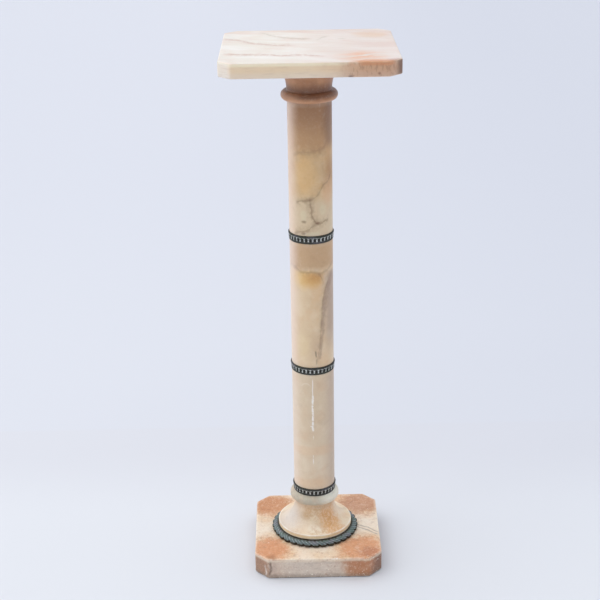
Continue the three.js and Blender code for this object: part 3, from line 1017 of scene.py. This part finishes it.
capital_outline = [[CAPITAL_FOOT, CAPITAL_BASE]]
capital_outline += arc([MOULDING_CENTRE, CAPITAL_BASE + MOULDING], MOULDING, -90, 90, 28)
capital_outline += hollow(CAPITAL_NECK, soft_rim, CAPITAL_BASE + 2 * MOULDING, under_rim, 30)
capital_outline += arc([soft_rim, rim_foot], CAPITAL_SOFT, -60, 0, 2)
capital_outline += straight([CAPITAL_RIM, rim_foot], [CAPITAL_RIM, rim_head], 2)
capital_outline += arc([CAPITAL_RIM - CAPITAL_EDGE, rim_head], CAPITAL_EDGE, 0, 90, 2)
capital_outline.append([CAPITAL_RIM - CAP_INSET, CAPITAL_TOP])
capital_rims = [(CAPITAL_RIM, rim_foot, -1, 4, (1.8, 3.4))]
turn_stone("capital", "capital", "capital", capital_outline, capital_rims, 3, 0.6)

# %% [markdown]
# ## Foot
# The foot is the capital upside down and larger: a half-round, a hollow flare and a thin upright
# rim. Its rim edge is rubbed and chipped most, because brooms and shoes reach it; the wear painted
# there also serves as a painted highlight.

# %% Turn the foot
FOOT_SEAT = 62.1
FOOT_RIM = 71.7
FOOT_NECK = 37.7
FOOT_BASE = ends_of("turned_foot")[0]
FOOT_RIM_BASE = FOOT_BASE + 11.3
FOOT_RIM_TOP = FOOT_RIM_BASE + 8.8
FOOT_TORUS_BASE = FOOT_RIM_TOP + 48.4
FOOT_TOP = FOOT_TORUS_BASE + 20.4
FOOT_TORUS = 9.8
FOOT_FILLET = 40.6
FOOT_ARRIS = 0.9
FOOT_STEPS = 264
inner_rim = FOOT_RIM - FOOT_ARRIS

foot_outline = [[FOOT_SEAT, FOOT_BASE], [FOOT_SEAT, FOOT_RIM_BASE]]
foot_outline += straight([FOOT_SEAT, FOOT_RIM_BASE], [inner_rim, FOOT_RIM_BASE], 3)
foot_outline += arc([inner_rim, FOOT_RIM_BASE + FOOT_ARRIS], FOOT_ARRIS, -90, 0, 4)
foot_outline += straight([FOOT_RIM, FOOT_RIM_BASE + 1], [FOOT_RIM, FOOT_RIM_TOP - 1], 1.1)
foot_outline += arc([inner_rim, FOOT_RIM_TOP - FOOT_ARRIS], FOOT_ARRIS, 0, 80, 4)
foot_outline += hollow(FOOT_NECK, inner_rim, FOOT_TORUS_BASE, FOOT_RIM_TOP, 44)[::-1]
last_angle = math.degrees(math.acos((FOOT_FILLET - FOOT_NECK) / FOOT_TORUS))
torus = arc([FOOT_NECK, FOOT_TORUS_BASE + FOOT_TORUS], FOOT_TORUS, -90, last_angle, 30)
foot_outline += torus[1:]
foot_outline += [[FOOT_FILLET, FOOT_TOP - 0.2], [FOOT_FILLET - 0.2, FOOT_TOP]]
foot_outline += [[SPIGOT_RADIUS, FOOT_TOP], [SPIGOT_RADIUS, FOOT_TOP + SPIGOT_HEIGHT]]
foot_rims = [
    (FOOT_RIM, FOOT_RIM_TOP, 1, 16, (1.4, 3.4)),
    (FOOT_RIM, FOOT_RIM_BASE, -1, 8, (1.4, 2.6)),
]
turn_stone("foot", "turned_foot", "foot", foot_outline, foot_rims, 3.2, 0.7, FOOT_STEPS)

# %% [markdown]
# ## Clipped square blocks
# The slab and the plinth are squares with their upright corners cut off. Their outline is walked
# round once in small steps, with a short arc at each of its eight corners. Rows of that outline,
# set in or out and up or down, then make the sides, the soft edges and the faces. So many points
# along the edges look wasteful, but that is what lets a chip be a real hollow.

# %% Walk round a clipped square
SOFT_CORNER = 6
HALF_BEND = math.radians(22.5)


def clipped_outline(side, clip, pitch):
    """Points round a clipped square and the way each faces, in plan."""
    half = side / 2
    near = half - clip
    corners = [(half, -near), (half, near), (near, half), (-near, half)]
    corners += [(-x, -y) for x, y in corners]
    points, facing = [], []
    for index, corner in enumerate(corners):
        before = Vector(corners[index - 1])
        here = Vector(corner)
        after = Vector(corners[(index + 1) % 8])
        into = (here - before).normalized()
        outof = (after - here).normalized()
        first = Vector((into.y, -into.x))
        last = Vector((outof.y, -outof.x))
        hub = here - (first + last).normalized() * (SOFT_CORNER / math.cos(HALF_BEND))
        for share in (0, 0.25, 0.5, 0.75, 1):
            way = first.slerp(last, share)
            points.append(hub + way * SOFT_CORNER)
            facing.append(way)
        reach = SOFT_CORNER * math.tan(HALF_BEND)
        start = here + outof * reach
        end = after - outof * reach
        parts = round((end - start).length / pitch)
        for part in range(1, parts):
            points.append(start.lerp(end, part / parts))
            facing.append(last)
    return np.array(points), np.array(facing)


# %% [markdown]
# The section of a block is a list of insets and heights, from the underside up the side and over
# the top. Its rows lie close together near the edges, where a chip needs many points, and far
# apart in the middle of a face.

# %% Rows for a block
EDGE_PITCH = 1.1
UNDER_INSETS = (24, 12, 8, 5.5, 4.4)
UPPER_INSETS = (3.4, 4.4, 5.6, 7, 9, 12, 18, 30)


def block_section(base, top, lower_arris, arris, inner):
    """Insets and heights from the underside, up the side and over the top."""
    section = [[inset, base] for inset in (inner, inner * 0.8, inner / 2, *UNDER_INSETS)]
    under = arc([0, base + lower_arris], lower_arris, -90, 0, 5)
    section += [[lower_arris - r, z] for r, z in under]
    rise = [base + lower_arris + EDGE_PITCH * k for k in (1, 2, 3, 4)]
    fall = [top - arris - EDGE_PITCH * k for k in (4, 3, 2, 1)]
    middle = np.linspace(rise[-1], fall[0], 5)[1:-1]
    section += [[0, z] for z in [*rise, *middle, *fall]]
    section += [[arris - r, z] for r, z in arc([0, top - arris], arris, 0, 90, 4)]
    section += [[inset, top] for inset in (*UPPER_INSETS, inner / 2, inner * 0.8, inner)]
    return section


def block_rows(plan, side, section):
    """Rows of a block: a small inset moves each side in, a large one shrinks the outline."""
    outline, facing = plan
    rows = []
    for inset, height in section:
        shift = min(inset, SOFT_CORNER)
        row = outline - facing * shift
        row = row * ((side / 2 - inset) / (side / 2 - shift))
        rows.append(np.column_stack([row, np.full(len(row), height)]))
    return np.array(rows)


def edge_wear(rows, base, top, reach):
    """Wear near the edges of a block's upper and lower faces and near its upright corners."""
    up = rows[..., 2]
    to_face = np.minimum(top - up, up - base)
    middle_row = rows[len(rows) // 2, :, :2]
    inset = np.linalg.norm(rows[..., :2] - middle_row[None], axis=-1)
    near_edge = np.clip(1 - np.hypot(inset, to_face) / reach, 0, 1)
    return np.where(to_face < reach * 3, near_edge, 0) * broken(rows, 9, -0.5, 0.4)


# %% [markdown]
# Chips on a block are listed where they show, and scattered by a seeded random generator
# elsewhere, the same generator that chipped the rims.


# %% Chips along a block's edges
def edge_ball(x, y, height, facing, upward, radius, bite=0.3):
    """A ball that bites into an edge: its centre stands off the edge, outward and up or down."""
    stand = radius * (1 - bite) * math.sqrt(0.5)
    return ((x + facing[0] * stand, y + facing[1] * stand, height + upward * stand), radius)


def scattered_balls(plan, shift, height, upward, count, size):
    outline, facing = plan
    balls = []
    for _ in range(count):
        index = rng.randrange(len(outline))
        x, y = outline[index]
        radius = rng.uniform(*size)
        bite = rng.uniform(0.16, 0.34)
        balls.append(edge_ball(x + shift, y, height, facing[index], upward, radius, bite))
    return balls


# %% [markdown]
# ## Slab
# Its edges are rounded by 2.5 mm and its corners a little more, with a few small knocks.

# %% Cut the slab
SLAB_SIDE = 304
SLAB_CLIP = 21.5
SLAB_ARRIS = 2.5
SLAB_BITE = 0.7
SLAB_BASE, SLAB_TOP = ends_of("top_slab")
slab_plan = clipped_outline(SLAB_SIDE, SLAB_CLIP, 1.8)
slab_section = block_section(SLAB_BASE, SLAB_TOP, SLAB_ARRIS, SLAB_ARRIS, SLAB_SIDE / 2 - 1)
slab_rows = block_rows(slab_plan, SLAB_SIDE, slab_section)
slab_balls = scattered_balls(slab_plan, 0, SLAB_TOP - SLAB_BITE, 1, 7, (1.4, 2.6))
slab_balls += scattered_balls(slab_plan, 0, SLAB_BASE + SLAB_BITE, -1, 10, (1.4, 3.2))
slab_rows, slab_chip = chipped(slab_rows, slab_balls)
slab_marks = {"worn": edge_wear(slab_rows, SLAB_BASE, SLAB_TOP, 4), "chip": slab_chip * 0.4}
placed("slab_stone", "top_slab", stone_finishes["slab"], slab_rows, slab_marks)

# %% [markdown]
# ## Plinth
# The plinth has taken the knocks of the floor: a run of white chips on its front edge, more along
# the bottom, and corners worn round.

# %% Cut the plinth
PLINTH_SIDE = 244
PLINTH_CLIP = 25
PLINTH_SHIFT = 4.5
PLINTH_TOP = ends_of("plinth")[1]
PLINTH_ARRIS = 2
PLINTH_FOOT_ARRIS = 3.4
PLINTH_BITE = 0.4
FRONT = -PLINTH_SIDE / 2
UPPER_EDGE, LOWER_EDGE = (PLINTH_TOP - PLINTH_BITE, 1), (PLINTH_BITE, -1)
plinth_plan = clipped_outline(PLINTH_SIDE, PLINTH_CLIP, 1.6)
plinth_section = block_section(0, PLINTH_TOP, PLINTH_FOOT_ARRIS, PLINTH_ARRIS, PLINTH_SIDE / 2 - 1)
plinth_rows = block_rows(plinth_plan, PLINTH_SIDE, plinth_section)
plinth_rows[..., 0] += PLINTH_SHIFT
plinth_balls = scattered_balls(plinth_plan, PLINTH_SHIFT, *UPPER_EDGE, 26, (1.6, 3.6))
plinth_balls += scattered_balls(plinth_plan, PLINTH_SHIFT, *LOWER_EDGE, 40, (2, 6))
upper_knocks = [(30, 3.4), (34, 4.2), (39, 4.6), (44, 3.2), (-58, 2.4), (-42, 2.2), (-24, 2.6)]
upper_knocks += [(-8, 2.2), (2, 2.4), (56, 2.6), (68, 2.2), (83, 2.6), (96, 2.2)]
lower_knocks = [(40, 4.5), (46, 6), (53, 5), (60, 4)]
for (height, upward), knocks in ((UPPER_EDGE, upper_knocks), (LOWER_EDGE, lower_knocks)):
    for x, radius in knocks:
        plinth_balls.append(edge_ball(x, FRONT, height, (0, -1), upward, radius))
plinth_rows, plinth_chip = chipped(plinth_rows, plinth_balls)
plinth_marks = {"worn": edge_wear(plinth_rows, 0, PLINTH_TOP, 5), "chip": plinth_chip}
placed("plinth_stone", "plinth", stone_finishes["plinth"], plinth_rows, plinth_marks)

# %% [markdown]
# ## Bronze bands
# Each band is a cast ring. From above it has a plain rounded lip, then a row of small flutes with
# arched heads, cut between upright ribs, and a plain rim that tapers in below. It could be built
# from separate ribs, but a casting is one skin, so the ring's surface is one grid whose radius is
# worked out at each height and turn.

# %% The band's surface
BAND_HEIGHT = 14.4
BAND_BORE = 32.3
BAND_ROWS = 49
MOTIFS = 33
STEPS_PER_RIB = 14
FLUTE_HALF_WIDTH = 0.34
FLUTE_DEPTH = 1.15
FLUTE_FOOT = 3.7
FLUTE_SPRING = 8.7
FLUTE_HEAD = 10.7
BAND_OUTLINE = [
    (0, 39.9), (0.5, 40.3), (1.4, 40.6), (2.4, 40.5), (2.9, 40.1), (3.3, 40.2), (3.8, 40.7),
    (7, 41.0), (10.6, 41.4), (11.1, 41.3), (11.5, 40.7), (11.8, 40.8), (12.2, 41.5),
    (12.9, 41.8), (13.6, 41.7), (14.1, 41.3), (14.4, 40.8),
]


def smooth(value, low, high):
    share = np.clip((value - low) / (high - low), 0, 1)
    return share * share * (3 - 2 * share)


def motif_steps(per_motif):
    """Round a ring: the turn of each step, and its place in its motif from -0.5 to 0.5."""
    steps = MOTIFS * per_motif
    turn = np.arange(steps) * 2 * math.pi / steps
    return turn, (np.arange(steps) / per_motif + 0.5) % 1 - 0.5


def with_bore(rows, proud_and_lit, inner, turn, base):
    """The rows lifted to their base, after plain inner rows [radius, height] that close the ring."""
    inner = np.array(inner, dtype=float)
    rows = np.concatenate([rows, around(inner[:, :1], inner[:, 1:], turn)])
    rows[..., 2] += base
    return rows, {"proud_and_lit": np.concatenate([proud_and_lit, np.zeros((len(inner), len(turn)))])}


def flute_cut(height, place):
    """How much of a flute's depth is cut: 1 in its middle, 0 on the rib."""
    lift = np.clip((height - FLUTE_SPRING) / (FLUTE_HEAD - FLUTE_SPRING), 0, 1)
    half = FLUTE_HALF_WIDTH * np.sqrt(np.clip(1 - lift**2, 0, 1))
    inside = (height > FLUTE_FOOT) & (height < FLUTE_HEAD)
    share = np.abs(place) / np.maximum(half, 0.02)
    cut = np.sqrt(np.clip(1 - share**2, 0, 1))
    return np.where(inside, cut * smooth(height, FLUTE_FOOT, FLUTE_FOOT + 0.6), 0)


# %% [markdown]
# The plain outline of a band is read from a list of heights and radii, and the flutes are cut
# into it. The three castings come from one pattern, and each is turned by a few degrees of its
# own, as they would be after fitting by hand.


# %% Cast the three bands
def make_band(node, degrees):
    turn, motif = motif_steps(STEPS_PER_RIB)
    heights = np.linspace(0, BAND_HEIGHT, BAND_ROWS)
    height, flute = np.meshgrid(heights, np.abs(motif) - 0.5, indexing="ij")
    cut = flute_cut(height, flute)
    radius = np.interp(height, *zip(*BAND_OUTLINE)) - FLUTE_DEPTH * cut
    turn = turn + math.radians(degrees)
    rib = (height > FLUTE_FOOT) & (height < FLUTE_HEAD + 0.5)
    # High on the ribs, where rubbed metal and a painted highlight go; low in the flutes, where patina
    # lies.
    proud_and_lit = np.where(rib, 1 - 1.1 * cut, 0.35)
    inner = [(BAND_BORE, BAND_HEIGHT), (BAND_BORE, 0)]
    rows = around(radius, height, turn)
    rows, marks = with_bore(rows, proud_and_lit, inner, turn, ends_of(node)[0])
    placed(node + "_casting", node, band_bronze, rows, marks, closed=True)


make_band("upper_band", -8)
make_band("middle_band", 3)
make_band("lower_band", -2)

# %% [markdown]
# ## Bronze wreath
# Under the foot's rim lies a ring of leaves laid side by side, each ending in a round lobe that
# hangs over the plinth. The lobes hang straight and the leaves above them lean. As with the bands,
# one grid makes the casting: the leaves are ridges and valleys, and their place moves on round
# the ring as the section climbs.

# %% Model the wreath
WREATH_CROWN = 76.5
WREATH_BULGE = 8.5
WREATH_HALF = 5.5
WREATH_BORE = 62.4
WREATH_SEAT = 72.5
WREATH_LEAN = math.radians(13)
WREATH_ROWS = 64
LOBE_TOP = 0.46
LOBE_GAP = 4.8
LEAF_DROP = 3.2
LEAF_STEPS = 16


def leaf_relief(motif, share):
    """Height of the leaves over the ring, in millimetres, and how proud and lit each point is."""
    side = np.abs(motif) * 2
    lobe = 1 - smooth(share, LOBE_TOP, LOBE_TOP + 0.08)
    notch = np.exp(-(((1 - side) / 0.3) ** 2))
    rib = np.exp(-(((side - 0.5) / 0.17) ** 2))
    ripples = 0.16 * np.cos(2 * math.pi * (11 * share - 1.3 * side))
    height = -LOBE_GAP * lobe * notch + (1 - lobe) * (0.6 * rib + ripples - LEAF_DROP - 0.3 * notch)
    # The hanging lobes get nothing here, so the finish paints them dark: patina and painted shade.
    leaf_proud_and_lit = (0.6 + 0.4 * rib - 0.2 * notch) * (1 - lobe)
    return height, np.clip(leaf_proud_and_lit, 0, 1)


def make_wreath():
    turn, motif = motif_steps(LEAF_STEPS)
    share, place = np.meshgrid(np.linspace(0, 1, WREATH_ROWS), motif, indexing="ij")
    relief, proud_and_lit = leaf_relief(place, share)
    relief -= 0.15
    slope = math.pi * (share - 0.5)
    full = np.cos(slope) ** np.where(share < 0.5, 0.4, 1.0)
    radius = WREATH_CROWN + (WREATH_BULGE + relief) * full
    height = WREATH_HALF + WREATH_HALF * np.sin(slope) + relief * 0.6 * np.clip(np.sin(slope), 0, 1)
    moved = turn[None] - WREATH_LEAN * np.maximum(share - LOBE_TOP, 0)
    top = 2 * WREATH_HALF - 0.3
    inner = [(WREATH_SEAT, top), (WREATH_BORE, top), (WREATH_BORE, 0)]
    rows = around(radius, height, moved)
    rows, marks = with_bore(rows, proud_and_lit, inner, moved[-1], ends_of("foot_wreath")[0])
    placed("wreath_casting", "foot_wreath", wreath_bronze, rows, marks, closed=True)


make_wreath()

# %% [markdown]
# ## Floor, light and air
# The stand is shown on a pale, seamless floor in very soft light: most of it from overhead, some
# from the left and a little from the right, and almost none from the front, so the drums are
# lightest along their sides. Lamps close by would leave the far floor dark. Three suns with very
# wide discs light every part of the floor alike, and still throw the soft shade of the slab on
# the capital, which tells the eye how far the slab reaches out. The air gives more light from
# near the horizon than from above.

# %% Lay the floor and light it
FLOOR_REACH = 30
PAPER_FOLD = 518
HALF_FOLD = 3


def lay_floor():
    work = bmesh.new()
    bmesh.ops.create_grid(work, x_segments=1, y_segments=1, size=FLOOR_REACH)
    mesh = bpy.data.meshes.new("studio_floor")
    work.to_mesh(mesh)
    work.free()
    paper = Finish("studio_paper", (222, 225, 231))
    rightward, back, _ = paper.axes(paper.place)
    # Painted tone steps for how the light falls on the paper: a little darker further back, at its fold
    # and far behind.
    for colour, near, far in (
        ((216, 218, 225), 100, 420),
        ((216, 219, 227), PAPER_FOLD - HALF_FOLD, PAPER_FOLD + HALF_FOLD),
        ((214, 217, 226), 700, 3000),
    ):
        paper.paint(colour, 1.0, paper.step(back, near, far))
    # Painted shade: the paper is darker towards the right and the back.
    dimmed = paper.step(rightward, -900, 1400)
    paper.paint((200, 204, 215), 0.6, dimmed, paper.step(back, -600, 900))
    dull = paper.shaded(Base_Color=paper.colour, Roughness=0.9, Specular_IOR_Level=0.1)
    mesh.materials.append(dull)
    floor = bpy.data.objects.new("studio_floor", mesh)
    bpy.context.collection.objects.link(floor)


def wide_sun(name, source, power, disc, colour):
    """A soft light from the direction of source, its disc so many degrees wide."""
    light = bpy.data.lights.new(name, "SUN")
    light.energy = power
    light.angle = math.radians(disc)
    light.color = colour
    lamp = bpy.data.objects.new(name, light)
    bpy.context.collection.objects.link(lamp)
    lamp.rotation_mode = "QUATERNION"
    lamp.rotation_quaternion = (-Vector(source)).to_track_quat("-Z", "Y")
    lamp.location = Vector(source).normalized() * 3


def soft_air():
    """A sky whose strength falls from near the horizon upwards."""
    air = bpy.data.worlds.new("studio_air")
    air.use_nodes = True
    tree = air.node_tree
    backdrop = tree.nodes["Background"]
    backdrop.inputs["Color"].default_value = linear(226, 230, 240)
    way = tree.nodes.new("ShaderNodeTexCoord")
    split = tree.nodes.new("ShaderNodeSeparateXYZ")
    fade = tree.nodes.new("ShaderNodeMapRange")
    for socket, value in zip(("From Min", "From Max", "To Min", "To Max"), (0.17, 0.34, 1.03, 0.4)):
        fade.inputs[socket].default_value = value
    tree.links.new(way.outputs["Generated"], split.inputs[0])
    tree.links.new(split.outputs["Z"], fade.inputs["Value"])
    tree.links.new(fade.outputs["Result"], backdrop.inputs["Strength"])
    return air


lay_floor()
wide_sun("overhead_light", (-0.2, 0.05, 1), 1.8, 95, (1.0, 0.995, 0.985))
wide_sun("left_light", (-1, 0.3, 0.62), 1.0, 95, (0.98, 0.99, 1.0))
wide_sun("right_light", (1, 0.35, 0.5), 0.42, 70, (0.98, 0.985, 1.0))
bpy.context.scene.world = soft_air()
bpy.context.scene.view_settings.view_transform = "Standard"
bpy.context.scene.view_settings.look = "None"
